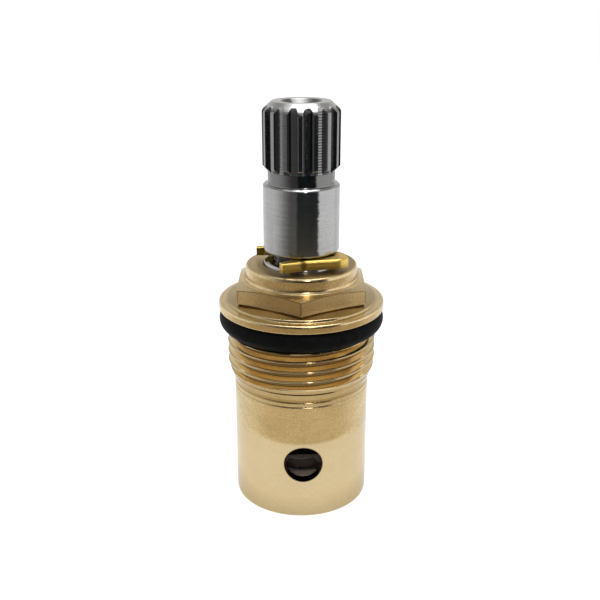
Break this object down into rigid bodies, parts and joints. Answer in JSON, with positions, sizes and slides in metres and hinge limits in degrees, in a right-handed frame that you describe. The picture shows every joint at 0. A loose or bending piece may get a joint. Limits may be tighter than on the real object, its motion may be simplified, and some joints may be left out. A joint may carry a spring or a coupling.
{
  "type": "ceramic disc tap cartridge",
  "caption": "Brass tap cartridge with a splined steel stem, spring clip, wrench hexagon, sealed flange, screw thread and ported sleeve that holds a quarter-turn ceramic disc valve.",
  "frame": {"origin": "centre of the seat end, on the stem's axis", "axes": "+Z along the stem towards the handle end, -Y through the front port"},
  "size_m": [0.0242, 0.0242, 0.0596],
  "materials": {
    "body_brass": "turned satin brass",
    "stem_steel": "turned stainless steel",
    "clip_brass": "bright stamped brass",
    "seal_rubber": "smooth black rubber",
    "low_friction_plastic": "plain white low-friction plastic",
    "dark_ceramic": "lapped dark ceramic",
    "white_ceramic": "lapped white ceramic",
    "ring_plastic": "plain moulded plastic"
  },
  "bodies": {
    "body": {"bonnet_body": "body_brass", "flange_o_ring": "seal_rubber", "thrust_washer": "low_friction_plastic", "fixed_disc": "white_ceramic", "seat_seal": "seal_rubber", "seal_support_ring": "ring_plastic"},
    "rotor": {"stem": "stem_steel", "retaining_clip": "clip_brass", "stem_o_ring_upper": "seal_rubber", "stem_o_ring_lower": "seal_rubber", "rotating_disc": "dark_ceramic"}
  },
  "joints": [
    {"name": "stem_turn", "type": "hinge", "parent": "body", "child": "rotor", "pos_m": [0, 0, 0.04], "axis": [0, 0, 1], "range_deg": [0, 90]}
  ]
}
